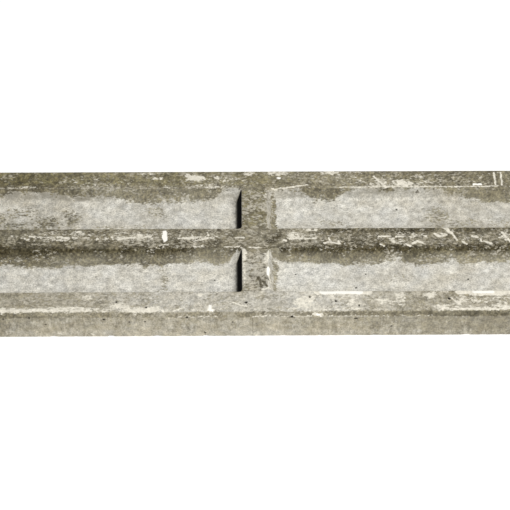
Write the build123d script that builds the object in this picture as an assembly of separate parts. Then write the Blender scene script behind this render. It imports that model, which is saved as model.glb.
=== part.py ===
from build123d import *
import math
import os

# Concrete gravel board, laid flat with its recessed face up, in millimetres.
# +X runs along the board, +Y across it and +Z out of the recessed face.
# The origin is the middle of the flat back face.

# Overall size of the casting
board_length = 1830.0
board_width = 305.0
board_thickness = 50.0

# Ribs left standing between the recesses, measured on the recessed face
edge_rib = 45.0  # along each long side, chamfer included
middle_rib = 43.0  # along the board, between the two rows of recesses
cross_rib = 41.0  # across the board, at mid length
end_rib = 50.0  # across each end, wider than a post's groove is deep

# Recessed panels, which release from the mould because every wall leans
recess_rows = 2
recess_columns = 2
recess_depth = 17.0
wall_run = 8.0  # how far a wall leans in between its rim and the floor
wall_corner_radius = 3.0  # up each mitred corner, between two walls
floor_fillet = 3.0  # round the floor, where it meets the walls
rim_radius = 1.5  # round the rim of each recess

# Chamfer along both long arrises of the recessed face
chamfer_width = 7.0  # across the face
chamfer_drop = 7.0  # down the side

# Small radius round each end, on every arris but the one at the back face
end_arris_radius = 2.0

# Worked out from the sizes above
recess_length = (board_length - 2 * end_rib - (recess_columns - 1) * cross_rib) / recess_columns
recess_width = (board_width - 2 * edge_rib - (recess_rows - 1) * middle_rib) / recess_rows
wall_lean = math.degrees(math.atan2(wall_run, recess_depth))
wall_slope_length = math.hypot(wall_run, recess_depth)
floor_radius = min(floor_fillet, wall_slope_length / 3)
flat_face_width = board_width - 2 * chamfer_width


def make_blank():
    """The board before its recesses: one section with both chamfers, carried along X."""
    half_width = board_width / 2
    half_face = flat_face_width / 2
    side_height = board_thickness - chamfer_drop
    outline = Polyline(
        (0, -half_width, 0),
        (0, half_width, 0),
        (0, half_width, side_height),
        (0, half_face, board_thickness),
        (0, -half_face, board_thickness),
        (0, -half_width, side_height),
        close=True,
    )
    return extrude(make_face(outline), amount=board_length / 2, dir=(1, 0, 0), both=True)


def make_recess_former():
    """The raised panel of the mould that leaves one recess: leaning walls and rounded edges."""
    rim = Rectangle(recess_length, recess_width)
    former = extrude(rim, amount=recess_depth, dir=(0, 0, -1), taper=wall_lean)
    mitres = former.edges().group_by(Axis.Z)[1]
    former = fillet(mitres, wall_corner_radius)
    floor_edges = former.edges().group_by(Axis.Z)[0]
    return fillet(floor_edges, floor_radius)


def recess_places():
    """The middle of each recess, on the recessed face."""
    grid = GridLocations(
        recess_length + cross_rib,
        recess_width + middle_rib,
        recess_columns,
        recess_rows,
    )
    face = Location((0, 0, board_thickness))
    return [face * place for place in grid]


def soften_ends(board):
    """Rounds each end's outline, up one side, over the recessed face and down the other."""
    by_length = board.faces().sort_by(Axis.X)
    arrises = []
    for end_face in (by_length[0], by_length[-1]):
        arrises += end_face.edges().sort_by(Axis.Z)[1:]
    return fillet(arrises, end_arris_radius)


def make_gravel_board():
    board = make_blank()
    former = make_recess_former()
    for place in recess_places():
        board = board - place * former
    face = board.faces().sort_by(Axis.Z)[-1]
    rims = [edge for wire in face.inner_wires() for edge in wire.edges()]
    board = fillet(rims, rim_radius)
    return soften_ends(board)


os.makedirs("parts", exist_ok=True)
gravel_board = make_gravel_board()
gravel_board.label = "gravel_board"
export_step(gravel_board, "parts/gravel_board.step")
print("volume in litres:", round(gravel_board.volume / 1e6, 3))
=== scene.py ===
import math
from types import SimpleNamespace

import bmesh
import bpy
import numpy as np
from mathutils import Matrix, Vector, noise


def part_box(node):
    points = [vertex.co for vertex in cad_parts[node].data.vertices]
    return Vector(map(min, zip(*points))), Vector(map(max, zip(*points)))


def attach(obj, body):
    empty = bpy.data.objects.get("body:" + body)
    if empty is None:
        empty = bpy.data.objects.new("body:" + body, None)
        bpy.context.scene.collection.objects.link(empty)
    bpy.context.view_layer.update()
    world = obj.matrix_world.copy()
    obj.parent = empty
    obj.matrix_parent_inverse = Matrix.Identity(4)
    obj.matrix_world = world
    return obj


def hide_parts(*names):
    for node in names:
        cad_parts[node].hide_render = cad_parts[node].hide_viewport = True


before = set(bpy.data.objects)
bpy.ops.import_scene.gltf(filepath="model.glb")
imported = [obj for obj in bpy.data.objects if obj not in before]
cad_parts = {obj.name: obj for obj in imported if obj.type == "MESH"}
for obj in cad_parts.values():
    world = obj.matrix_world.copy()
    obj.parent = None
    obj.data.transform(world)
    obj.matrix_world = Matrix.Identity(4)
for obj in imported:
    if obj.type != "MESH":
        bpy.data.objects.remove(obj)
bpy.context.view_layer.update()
mm = 0.001

# the cast board's form, in metres
board = {
    "edgeRib": 45 * mm,
    "middleRib": 43 * mm,
    "crossRib": 41 * mm,
    "endRib": 50 * mm,
    "recessDepth": 17 * mm,
    "wallRun": 8 * mm,
    "chamfer": 7 * mm,
    "cornerSoftness": 3 * mm,
    "floorSoftness": 5 * mm,
    "rimSoftness": 2 * mm,
}

halfLength, halfWidth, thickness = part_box("gravel_board")[1]
halfFace = halfWidth - board["chamfer"]
sideTop = thickness - board["chamfer"]
recessHalfLength = (halfLength - board["endRib"] - board["crossRib"] / 2) / 2
recessHalfWidth = (halfWidth - board["edgeRib"] - board["middleRib"] / 2) / 2
recessMidX = board["crossRib"] / 2 + recessHalfLength
recessMidY = board["middleRib"] / 2 + recessHalfWidth
wallSlope = math.hypot(board["recessDepth"], board["wallRun"])

# how closely the mesh follows it
lattice = {
    "fineHalf": 408 * mm,  # the middle stretch is meshed finer than the rest
    "fineStep": 2.7 * mm,
    "coarseStep": 6 * mm,
    "rowStep": 2.75 * mm,
    "sideStep": 3.5 * mm,
    "chamferRows": 3,
    "backSkip": 4,  # the back takes every fourth line
    "wallShares": (-0.2, 0, 0.16, 0.5, 0.84, 1, 1.25),  # of the wall's run, past its rim
    "endArris": (4, 2, 0.8, 0),  # lines this far in from an edge, in mm
    "faceArris": (2.4, 0.9, 0),
    "baseArris": (0, 1, 2.6),
    "sideArris": (1.6, 0),
    "holeReach": 1.9 * mm,  # how far round an air hole the faces are split
}


def linesThrough(stops, stepAt):
    lines = []
    for low, high in zip(stops[:-1], stops[1:]):
        count = max(1, math.ceil((high - low) / stepAt((low + high) / 2) - 1e-6))
        lines += [low + (high - low) * i / count for i in range(count)]
    return lines + [stops[-1]]


def wallStops(rim, way):
    return [rim + way * share * board["wallRun"] for share in lattice["wallShares"]]


def mirrored(values):
    return sorted({round(v, 6) for v in values} | {round(-v, 6) for v in values})


def columnLines():
    crossWall = wallStops(board["crossRib"] / 2, 1)
    endWall = wallStops(halfLength - board["endRib"], -1)
    arris = [halfLength - inset * mm for inset in lattice["endArris"]]
    stops = mirrored(crossWall + [lattice["fineHalf"]] + endWall + arris)
    fine, coarse = lattice["fineStep"], lattice["coarseStep"]
    return linesThrough(stops, lambda x: fine if abs(x) < lattice["fineHalf"] else coarse)


def faceRows():
    innerWall = wallStops(board["middleRib"] / 2, 1)
    outerWall = wallStops(halfWidth - board["edgeRib"], -1)
    arris = [halfFace - inset * mm for inset in lattice["faceArris"]]
    return linesThrough(mirrored(innerWall + outerWall + arris), lambda y: lattice["rowStep"])


def sideRows():
    base = [inset * mm for inset in lattice["baseArris"]]
    top = [sideTop - inset * mm for inset in lattice["sideArris"]]
    return linesThrough(base + top, lambda z: lattice["sideStep"])


def softMin(a, b, reach):
    near = np.clip(1 - np.abs(a - b) / reach, 0, 1)
    return np.minimum(a, b) - near * near * reach / 4


def insideRim(x, y):
    # distance in from a recess's rim, negative out on the ribs
    along = recessHalfLength - np.abs(np.abs(x) - recessMidX)
    across = recessHalfWidth - np.abs(np.abs(y) - recessMidY)
    return softMin(along, across, board["cornerSoftness"])


def recessDip(x, y):
    dip = insideRim(x, y) * board["recessDepth"] / board["wallRun"]
    dip = softMin(dip, board["recessDepth"], board["floorSoftness"])
    return -softMin(-dip, 0.0, board["rimSoftness"])


def ringOf(columns, rows, i0, i1, j0, j1):
    # a back cell's corners, with every fine line where it meets the board's edge
    lastColumn, lastRow = len(columns) - 1, len(rows) - 1
    along0 = range(i0, i1) if j0 == 0 else (i0,)
    along1 = range(i1, i0, -1) if j1 == lastRow else (i1,)
    up1 = range(j0, j1) if i1 == lastColumn else (j0,)
    up0 = range(j1, j0, -1) if i0 == 0 else (j1,)
    ring = [(i, j0) for i in along0] + [(i1, j) for j in up1]
    return ring + [(i, j1) for i in along1] + [(i0, j) for j in up0]


def boardShell():
    columns, rows, sides = columnLines(), faceRows(), sideRows()
    points, faces, index = [], [], {}

    def at(x, y, z):
        key = (round(x, 6), round(y, 6), round(z, 6))
        if key not in index:
            index[key] = len(points)
            points.append(key)
        return index[key]

    shares = [row / lattice["chamferRows"] for row in range(1, lattice["chamferRows"])]
    risen = [share * board["chamfer"] for share in shares]
    rise = [(halfWidth - part, sideTop + part) for part in risen]
    up = [(halfWidth, z) for z in sides] + rise
    section = [(-y, z) for y, z in up] + [(y, thickness) for y in rows] + list(reversed(up))
    dips = recessDip(np.array(columns)[:, None], np.array(rows)[None, :])
    first = len(up)
    sheet = []
    for i, x in enumerate(columns):
        line = []
        for j, (y, z) in enumerate(section):
            onFace = first <= j < first + len(rows)
            line.append(at(x, y, z - (dips[i, j - first] if onFace else 0)))
        sheet.append(line)
    for a, b in zip(sheet[:-1], sheet[1:]):
        faces += [(a[j], b[j], b[j + 1], a[j + 1]) for j in range(len(section) - 1)]

    acrossAll = [-halfWidth] + rows + [halfWidth]
    acrossPairs = list(zip(acrossAll[:-1], acrossAll[1:]))
    for end in (-1, 1):
        cells = []
        for z0, z1 in zip(sides[:-1], sides[1:]):
            cells += [[(y0, z0), (y1, z0), (y1, z1), (y0, z1)] for y0, y1 in acrossPairs]
        z0, z1 = sideTop, thickness
        cells += [[(y0, z0), (y1, z0), (y1, z1), (y0, z1)] for y0, y1 in acrossPairs[1:-1]]
        corner = [(halfFace, sideTop), (halfWidth, sideTop)] + rise + [(halfFace, thickness)]
        cells += [corner, [(-y, z) for y, z in reversed(corner)]]
        for cell in cells:
            ring = [at(end * halfLength, y, z) for y, z in cell]
            faces.append(ring if end > 0 else ring[::-1])

    def everyFew(lines):
        picks = sorted(set(range(0, len(lines), lattice["backSkip"])) | {len(lines) - 1})
        return list(zip(picks[:-1], picks[1:]))

    for i0, i1 in everyFew(columns):
        for j0, j1 in everyFew(acrossAll):
            ring = ringOf(columns, acrossAll, i0, i1, j0, j1)
            faces.append([at(columns[i], acrossAll[j], 0) for i, j in reversed(ring)])
    return points, faces


# holes left by trapped air, in mm: x, y or z, and radius
airHoles = {
    "nearRib": [
        (-14, -129, 2.6), (80, -119, 2.1), (118, -127, 2.4), (152, -136, 1.8), (286, -123, 3.0),
        (-305, -104, 2.2), (-288, -106, 1.4), (-205, -127, 2.2), (-161, -138, 2.2),
    ],
    "recessFloors": [
        (61, -59, 1.4), (151, -86, 2.0), (167, -59, 1.5), (223, 77, 2.0), (321, -70, 1.8),
        (-306, -98, 2.0), (-61, -70, 1.4), (-240, -62, 1.2),
    ],
    "nearSide": [
        (-370, 40, 1.8), (-332, 42, 2.2), (-223, 38, 2.4), (-163, 33, 1.8), (-101, 42, 2.4),
        (53, 42, 2.9), (147, 38, 2.4), (-34, 31, 1.6), (-75, 7, 1.7), (-186, 32, 1.5), (-309, 28, 1.6),
        (200, 20, 1.6),
    ],
    "scattered": 90,
    "scatteredReach": 900,
    "scatteredRadius": (1.0, 2.1),
    "ribRows": (-142, -111),
    "floorRows": (34, 96),
    "sideHeights": (6, 37),
    "depth": 1.5 * mm,
    "seed": 7,
}
photoHalf = 400  # half the stretch that the photo shows, in mm


def holePlaces():
    top, floor, side = thickness / mm, (thickness - board["recessDepth"]) / mm, halfWidth / mm
    holes = [(x, y, top, r) for x, y, r in airHoles["nearRib"]]
    holes += [(x, y, floor, r) for x, y, r in airHoles["recessFloors"]]
    holes += [(x, -side, z, r) for x, z, r in airHoles["nearSide"]]
    rng = np.random.default_rng(airHoles["seed"])
    reach = airHoles["scatteredReach"]
    for _ in range(airHoles["scattered"]):
        x, radius = rng.uniform(-reach, reach), rng.uniform(*airHoles["scatteredRadius"])
        where = rng.integers(5)  # the near rib, a recess floor, or one of the sides
        if where == 0:
            spot = (x, rng.uniform(*airHoles["ribRows"]), top)
        elif where == 1:
            spot = (x, rng.choice((-1, 1)) * rng.uniform(*airHoles["floorRows"]), floor)
        else:
            spot = (x, side * (-1) ** where, rng.uniform(*airHoles["sideHeights"]))
        if abs(x) > photoHalf or spot[1] > photoHalf / 4:
            holes.append((*spot, radius))
    return np.array(holes) * mm


def refineRound(mesh, holes):
    # smaller faces around each hole, so that it can be sunk into the mesh
    built = bmesh.new()
    built.from_mesh(mesh)
    centres = np.array([face.calc_center_median() for face in built.faces])
    built.faces.ensure_lookup_table()
    edges = set()
    for x, y, z, radius in holes:
        gap = np.linalg.norm(centres - (x, y, z), axis=1)
        for i in np.nonzero(gap < radius + lattice["holeReach"])[0]:
            if len(built.faces[i].verts) == 4:
                edges.update(built.faces[i].edges)
    bmesh.ops.subdivide_edges(built, edges=list(edges), cuts=2, use_grid_fill=True)
    built.to_mesh(mesh)
    built.free()


points, faces = boardShell()
castMesh = bpy.data.meshes.new("gravel_board_cast")
castMesh.from_pydata(points, [], faces)
castMesh.update()
holes = holePlaces()
refineRound(castMesh, holes)
castMesh.update()
print("board shell:", len(castMesh.polygons), "faces,", len(holes), "air holes")

spots = np.empty(len(castMesh.vertices) * 3)
castMesh.vertices.foreach_get("co", spots)
spots = spots.reshape(-1, 3)
outward = np.array([normal.vector for normal in castMesh.vertex_normals])


# soft noises: size of their lumps in mm, octaves, shift, and stretch along the board
clouds = {
    "lump": (14, 4, 3.0, 1),
    "broad": (70, 3, 11.0, 1),
    "streak": (9, 3, 23.0, 4),
    "footStrip": (7, 3, 29.0, 1),
    "madeUpReach": (80, 2, 31.0, 1),
    "wallStain": (6, 3, 37.0, 2.5),
    "rubbed": (40, 2, 41.0, 1),
    "madeUpArris": (60, 2, 47.0, 1),
    "worn": (26, 4, 61.0, 1),
    "wornFine": (5, 2, 67.0, 1),
    "swell": (90, 2, 71.0, 1),
    "grain": (8, 3, 73.0, 1),
    "ragged": (17, 4, 79.0, 1),
    "backGrain": (12, 3, 83.0, 1),
}


def cloud(name):
    # about -1 to 1 at every point
    size, octaves, shift, stretch = clouds[name]
    scaled = spots / (size * mm) / (stretch, 1, 1) + shift
    return np.array([noise.fractal(Vector(spot), 0.8, 2.0, octaves) for spot in scaled])


def ramp(low, high, value):
    share = np.clip((value - low) / (high - low), 0, 1)
    return share * share * (3 - 2 * share)


def blend(a, b, share):
    return a + (b - a) * share


def hump(value, middle, spread):
    return np.exp(-(((value - middle) / spread) ** 2))


def alongBoard(stops):
    # a value that changes along the board, given at some places
    return np.interp(spots[:, 0] / mm, list(stops), list(stops.values()))


# where dirt, weathering and lime lie, with some painted light and shade; places in mm, shares from 0 to 1
soiling = {
    "farRib": {-400: 0.86, -270: 0.84, -160: 0.76, -40: 0.7, 60: 0.74, 170: 0.74, 240: 0.72, 400: 0.82},
    "farRibDepth": {
        -400: 0.74, -330: 0.68, -290: 0.6, -200: 0.5, -150: 0.5, -110: 0.58, 0: 0.58, 30: 0.46, 60: 0.54,
        90: 0.6, 140: 0.46, 180: 0.5, 220: 0.64, 400: 0.66,
    },
    "middleRib": {
        -400: 0.82, -370: 0.78, -340: 0.7, -200: 0.7, -90: 0.66, 0: 0.64, 80: 0.72, 250: 0.72, 400: 0.76,
    },
    "middleRibDepth": {
        -400: 0.76, -340: 0.66, -200: 0.6, -60: 0.62, 30: 0.56, 90: 0.66, 250: 0.68, 400: 0.7,
    },
    "nearRib": {
        -400: 0.62, -300: 0.5, -230: 0.48, -180: 0.36, -146: 0.38, -110: 0.34, -80: 0.24, -40: 0.3,
        -15: 0.38, 20: 0.3, 70: 0.24, 160: 0.42, 190: 0.44, 270: 0.56, 400: 0.52,
    },
    "upperCross": {0: 0.54},
    "innerCross": {0: 0.486},
    "lowerCross": {0: 0.44},
    "nearChamfer": {
        -400: 1.35, -330: 1.1, -280: 0.66, -208: 0.64, -120: 0.56, -15: 0.66, 38: 0.56, 60: 0.5,
        100: 0.62, 170: 0.9, 300: 0.98, 400: 1.02,
    },
    "side": {
        -400: 0.95, -350: 0.72, -250: 0.38, -110: 0.32, 30: 0.2, 90: 0.32, 150: 0.54, 260: 0.84, 400: 1.1,
    },
    "upperWall": {
        -400: 0.84, -360: 0.76, -300: 0.8, -230: 0.66, -130: 0.7, -60: 0.78, -46: 0.45, 20: 0.64,
        68: 0.66, 90: 0.76, 120: 0.8, 160: 0.62, 200: 0.6, 290: 0.55, 306: 0.74, 400: 0.84,
    },
    "lowerWall": {
        -400: 0.88, -300: 0.84, -160: 0.84, -60: 0.86, -44: 0.78, 20: 0.7, 60: 0.84, 190: 0.8, 212: 0.62,
        236: 0.76, 400: 0.76,
    },
    "lowerWallDepth": {
        -400: 0.84, -330: 0.94, -300: 0.62, -240: 0.6, -210: 0.78, -130: 0.8, -85: 0.48, -55: 0.6,
        -40: 0.46, 10: 0.56, 80: 0.76, 190: 0.62, 250: 0.82, 300: 0.56, 400: 0.6,
    },
    "upperReach": {
        -398: 10, -370: 5, -350: 4, -325: 6, -300: 13, -285: 16, -265: 14, -245: 15, -225: 16, -205: 21,
        -180: 26, -160: 30, -140: 21, -110: 22, -90: 24, -72: 24, -60: 19, -49: 11, -38: 3, 25: 9, 60: 3,
        72: 4, 84: 14, 96: 20, 122: 21, 140: 14, 152: 5, 165: 3, 190: 5, 215: 7, 240: 5, 275: 3, 296: 4,
        304: 13, 328: 17, 350: 20, 367: 25, 398: 27,
    },
    "lowerReach": {
        -390: 31, -374: 28, -350: 31, -332: 35, -314: 36, -290: 33, -271: 30, -250: 31, -210: 29,
        -180: 26, -167: 37, -158: 30, -112: 26, -93: 25, -76: 23, -60: 30, -44: 26, -33: 17, -27: 4,
        29: 22, 46: 24, 69: 27, 115: 28, 124: 25, 136: 34, 153: 27, 188: 31, 203: 23, 219: 20, 228: 27,
        254: 33, 271: 30, 286: 29, 301: 21, 311: 31, 332: 31, 347: 24, 367: 27, 390: 28,
    },
    # brown blotches on the recess floors: middle, half sizes, share
    "blotches": [
        (-398, 60, 22, 14, 0.56), (-384, 50, 26, 10, 0.36), (-352, 40, 46, 14, 0.44),
        (-320, 50, 32, 13, 0.42), (-281, 58, 18, 18, 0.48), (-372, 66, 20, 8, 0.34),
        (-150, 74, 18, 16, 0.44), (-137, -66, 7, 44, 0.38), (285, 62, 22, 20, 0.4),
        (-240, 40, 36, 9, 0.12), (120, 42, 26, 16, 0.26), (380, 46, 30, 16, 0.24),
        (220, -66, 16, 10, 0.22), (335, 40, 30, 12, 0.34), (-360, 76, 30, 8, 0.3), (-205, 36, 60, 7, 0.2),
        (-600, -60, 60, 16, 0.3), (560, 56, 50, 20, 0.36), (780, -70, 40, 22, 0.26),
    ],
    # how weathered each floor is along the board, partly painted light falloff: lighter at the middle,
    # darker towards the ends
    "upperWeatherAndFalloff": {
        -400: 0.28, -330: 0.3, -290: 0.34, -262: 0.1, -60: 0.02, 60: -0.04, 150: 0.12, 250: 0.1,
        290: 0.26, 400: 0.26,
    },
    "lowerWeatherAndFalloff": {
        -400: 0.14, -340: 0.06, -240: 0.02, -140: 0.06, -90: -0.12, -40: -0.22, 60: -0.08, 200: 0.07,
        290: 0.12, 400: 0.2,
    },
    # grey smears: middle, half sizes, share
    "smears": [
        (300, 70, 30, 12, 0.25), (370, 66, 40, 20, 0.22), (138, 60, 36, 14, 0.2), (-170, 52, 36, 14, 0.3),
        (200, -68, 90, 16, 0.12), (-355, 103, 58, 3.5, 0.6), (-266, 101, 50, 4, 0.75),
        (-42, 101, 22, 9, 0.42), (62, 104, 38, 4, 0.6), (212, 104.5, 78, 3, 0.6),
        (-350, 46, 70, 14, 0.25), (-380, 34, 50, 10, 0.3), (-230, 38, 40, 10, 0.22),
        (300, 38, 110, 12, 0.34), (120, 38, 90, 12, 0.26), (25, 66, 6, 38, 0.35), (26, -64, 6, 34, 0.3),
        (-286, 2, 24, 5, 0.5), (-232, 0, 16, 5, 0.5), (-168, 4, 26, 6, 0.4), (192, -6, 14, 5, 0.35),
        (236, -4, 22, 8, 0.25), (-36, -18, 16, 3, 0.6), (20, 93, 5, 10, 0.7), (228, 122, 30, 7, 0.4),
        (180, 116, 30, 5, 0.5), (60, 128, 18, 5, 0.3), (30, -134, 50, 9, 0.2), (215, -134, 30, 10, 0.35),
        (-620, 40, 70, 20, 0.4), (660, -50, 90, 22, 0.35), (760, 70, 60, 24, 0.4),
    ],
    "madeUpReach": (22, 9),  # beyond the photo: mean and spread, in mm
    "reachFade": (8.0, 6.0),  # how softly the stain ends on the upper and the lower floors, in mm
    "raggedReach": 3.4,  # in mm
    "lowerShorter": 1.2,  # how much less far it reaches on the lower floors, in mm
    "raggedWall": 0.14,
    "floorHaze": 0.04,  # stain all over the floors
    "nearWall": 0.45,
    # right of the cross rib; pairs are for the upper and the lower recess
    "footReach": (8.5, 3.0),  # how far out it fades and is full, in mm
    "footUp": 5.0,
    "footRagged": (3.5, 2.0),
    "footShare": (1.0, 0.8),
    "endWall": (0.25, 0.15),
    "endWallFoot": (0.8, 0.6),
    # stain on single parts, and more or less of it beside their edges
    "endRib": 0.55,
    "nearRim": 0.14,
    "farRim": 0.08,
    "farRibFoot": 0.24,
    "drift": 0.1,
    "sideTop": 0.2,
    # painted bounce light: less stain towards the foot of the sides
    "sideFootBounce": 0.26,
    "farSideMore": 0.25,
    "back": 0.35,
    "ribWeather": 0.72,
    "sideWeather": 0.84,
    "endWallWeather": (0.66, 0.4),
    "floorFootDirtAndShade": (0.26, 0.16),  # grey by the near wall's foot on the upper and the lower floors, partly dirt and partly painted shade in that corner
    "recessMoss": 0.25,
    # how dark the stain is on each part
    "crossDepth": 0.62,
    "floorDepth": (0.22, 0.3),
    "leftDarker": 0.36,
    "byCrossDepth": (0.55, 0.35),
    "sideDepth": 0.24,
    "sideEnds": 0.25,
    "darkest": 1.1,
    "lowerFoot": 0.28,
    "slantStreak": (26, -3, 0.5, 0.6, 5.0, 0.5),  # middle, slope, half width, share
    "middleStripAt": (-9, 7),  # its middle and half width
    "nearRibDepth": {-400: 0.22, -200: 0.16, 0: 0.12, 200: 0.22, 400: 0.3},
    "chamferDepth": {-400: 0.55, -300: 0.32, 60: 0.36, 170: 0.5, 300: 0.64, 400: 0.64},
    "upperWallDepth": {
        -400: 0.64, -260: 0.58, -230: 0.36, -110: 0.38, -60: 0.5, 60: 0.5, 120: 0.62, 160: 0.42,
        280: 0.34, 320: 0.36, 400: 0.5,
    },
    # darker lines beside the rims
    "upperTopLine": {
        -100: 0.0, -80: 0.3, -30: 0.3, 10: 0.5, 50: 0.4, 70: 0.1, 180: 0.1, 195: 0.5, 215: 0.5, 230: 0.1,
    },
    "lowerTopLine": {
        -310: 1.0, -298: 0.7, -262: 0.7, -240: 1.0, -110: 1.0, -85: 0.4, -60: 0.2, -35: 0.5, 0: 1.0,
    },
    "farStrip": {
        -400: 0.15, -385: 0.0, -268: 0.0, -258: 0.2, -226: 0.2, -215: -0.1, -130: 0.0, -110: 0.3,
        -88: 0.0, 95: 0.0, 120: 0.4, 165: 0.2, 185: 0.2, 205: 0.6, 270: 0.4, 285: -0.1, 330: 0.3,
        400: 0.0,
    },
    "middleStrip": {
        -400: 0.2, -280: 0.14, -250: 0.02, -215: 0.2, -180: 0.3, -60: 0.22, -20: 0.0, 60: 0.06, 110: 0.24,
        180: 0.3, 210: 0.0,
    },
    "nearStrip": {
        -400: 0.5, -320: 0.4, -290: 0.12, -205: 0.2, -188: 0.8, -110: 0.75, -75: 0.1, -50: 0.1, 0: 0.1,
        20: 0.4, 45: 0.2, 90: 0.5, 400: 0.6,
    },
    "moss": {-400: 1.0, -330: 0.95, -200: 0.8, -100: 0.8, 0: 0.8, 60: 0.5, 170: 0.3, 400: 0.2},
    "nearRibWeather": {
        -400: 0.9, -250: 0.78, -180: 0.62, -80: 0.5, -40: 0.66, 60: 0.4, 120: 0.5, 180: 0.6, 260: 0.8,
        400: 0.8,
    },
}
limeCover = {
    "arris": {
        -400: 1.05, -320: 1.05, -265: 1.0, -245: 0.55, -225: 0.62, -205: 0.25, -188: 1.0, -140: 1.0,
        -128: 0.22, 50: 0.18, 70: 0.44, 150: 0.4, 170: 0.14, 215: 0.1, 268: 0.1, 290: 0.66, 400: 0.64,
    },
    # patches on the ribs: middle, half sizes, share
    "patches": [
        (-365, 111, 26, 4, 0.4), (270, 111, 26, 4, 0.42), (-160, 141, 24, 4, 0.3),
        (142, 142, 24, 4, 0.34), (-140, 110, 18, 4, 0.42), (-72, 111, 28, 4, 0.42),
        (-200, -136, 16, 6, 0.62), (-372, -143.5, 48, 5, 0.8), (-272, -142, 46, 5, 0.7),
        (-248, -118, 7, 4.5, 0.74), (-164, -143.5, 26, 6, 1.1), (-67, -141, 6, 6, 0.8),
        (-82, -115, 5, 2.5, 0.8), (72, -130, 14, 14, 0.66), (117, -142, 8, 5, 0.55),
        (141, -134, 8, 13, 0.55), (213, -122, 9, 14, 0.62), (257, -117, 11, 6, 0.66),
        (274, -140, 13, 6, 0.58), (188, -128, 16, 8, 0.55), (345, -126, 40, 7, 0.42),
        (303, -127, 12, 12, 0.6), (350, -112.5, 32, 6.5, 1.0), (378, -112, 12, 5, 0.85),
        (364, -139, 18, 6, 0.58), (110, -118, 50, 8, 0.36), (320, -132, 20, 8, 0.3),
        (-93, 131, 15, 6, 0.78), (-153, 131, 9, 3, 0.62), (-48, 129, 16, 7, 0.42), (-8, 141, 8, 5, 0.6),
        (38, 142, 18, 5, 0.6), (119, 142, 15, 6, 0.66), (235, 118, 17, 8, 0.78), (272, 116, 26, 5, 0.38),
        (196, 118, 16, 9, 0.55), (198, 112, 26, 4, 0.5), (260, 132, 12, 4, 0.45), (-305, 0, 30, 6, 0.34),
        (-340, 5, 26, 4, 0.28), (-196, 1, 18, 5, 0.42), (-168, 5, 16, 6, 0.5), (-92, 1, 26, 5, 0.42),
        (62, 5, 12, 9, 0.52), (90, 19, 14, 5, 0.4), (228, -8, 20, 8, 0.42), (-19, -34, 4, 15, 0.72),
        (-17, -66, 3, 22, 0.42), (-85, -16, 16, 4, 0.42), (335, -2, 22, 8, 0.26), (286, 6, 14, 5, 0.5),
        (384, 4, 9, 11, 0.5), (18, -44, 5, 14, 0.6), (19, 92, 4, 10, 0.4), (-270, 13, 12, 6, 0.4),
        (-130, -15, 40, 5, 0.22), (-292, 5, 60, 11, 0.25), (-185, 5, 60, 11, 0.27),
        (-90, 2, 60, 10, 0.22), (88, 4, 44, 13, 0.22), (228, 3, 56, 9, 0.26), (-250, 122, 60, 14, 0.16),
        (-60, 122, 60, 14, 0.18), (214, 124, 80, 14, 0.2),
    ],
    # made-up ones beyond the photo
    "scattered": 46,
    "scatteredReach": 905,
    "scatteredRows": (-142, -130, 3, 128, 134),
    "scatteredOdds": (0.35, 0.15, 0.25, 0.15, 0.1),
    "scatteredHalves": ((6, 34), (2.5, 6)),
    "scatteredShare": (0.55, 0.85),
    "madeUpArris": (0.55, 0.35),
    "arrisWidth": 3.7,
    "least": 0.04,
    "rightMore": 0.05,
    "onChamfer": 0.4,
    "seed": 19,
}
# how far the surface sinks in, for each cause
wear = {
    "castInset": 0.32 * mm,
    "swell": 0.22 * mm,
    "grain": 0.16 * mm,
    "arris": 0.8 * mm,
    "baseArris": 1.0 * mm,
    "crust": 0.26 * mm,
    "least": 0.04 * mm,
    # how far wear reaches round each edge
    "arrisWidth": 1.7 * mm,
    "chamferWidth": 1.5 * mm,
    "endWidth": 2.2 * mm,
    "rimWidth": 1.6 * mm,
    "backBand": 3 * mm,
    "sharpAngle": 38,
}


def boxPatch(x, y, patch, edge):
    midX, midY, halfX, halfY, share = patch
    away = np.hypot((x - midX) / halfX, (y - midY) / halfY)
    return share * (1 - ramp(1 - edge, 1 + edge, away))


def scatteredPatches(rng, count):
    # the stretches beyond the photo get patches of the same kinds
    found = []
    for _ in range(count):
        x = rng.choice((-1, 1)) * rng.uniform(photoHalf + 10, limeCover["scatteredReach"])
        y = rng.choice(limeCover["scatteredRows"], p=limeCover["scatteredOdds"]) + rng.uniform(-3, 3)
        halfX, halfY = (rng.uniform(*limits) for limits in limeCover["scatteredHalves"])
        found.append((x, y, halfX, halfY, rng.uniform(*limeCover["scatteredShare"])))
    return found


# where one part of the board passes into the next, in mm: across it, along it or in height
zones = {
    "lowerCross": (-108.5, -98),
    "innerCross": (-66, -30),
    "middleRib": (-30, -20),
    "upperCross": (19, 30),
    "farRib": (102, 111),
    "nearStrip": (-12, -19),
    "farStrip": (10, 14),
    "farRim": (7, 12),
    "farRibFoot": (115, 109),
    "mossFar": (106, 124),
    "mossFrom": (18, 30),
    "mossTo": (108, 100),
    "rightOfCross": (80, 100),
    "leftOfCross": (-20, -50),
    "streakFrom": (12, 18),
    "streakTo": (44, 38),
    "leftEnd": (-250, -290),
    "farRight": (260, 380),
    "limeRight": (-60, 120),
    "sideTop": (24, 42),
    "sideFootBounce": (22, 8),
    "paleFootBounce": (18, 6),
    "sideEnds": (280, 380),
    "upperTopLine": (5, 2),  # this and the rest are measured from a rim
    "lowerTopLine": (8.0, 2.5),
    "lowerFoot": (11, 19),
    "floorFootDirtAndShade": (24, 9),
    # where the painted shade on those end walls fades out, across the wall's foot
    "paintedShade": (6.0, 10.5),
    "mitre": (-1.0, 2.0),
}


def zone(name, value):
    return ramp(*zones[name], value)


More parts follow.
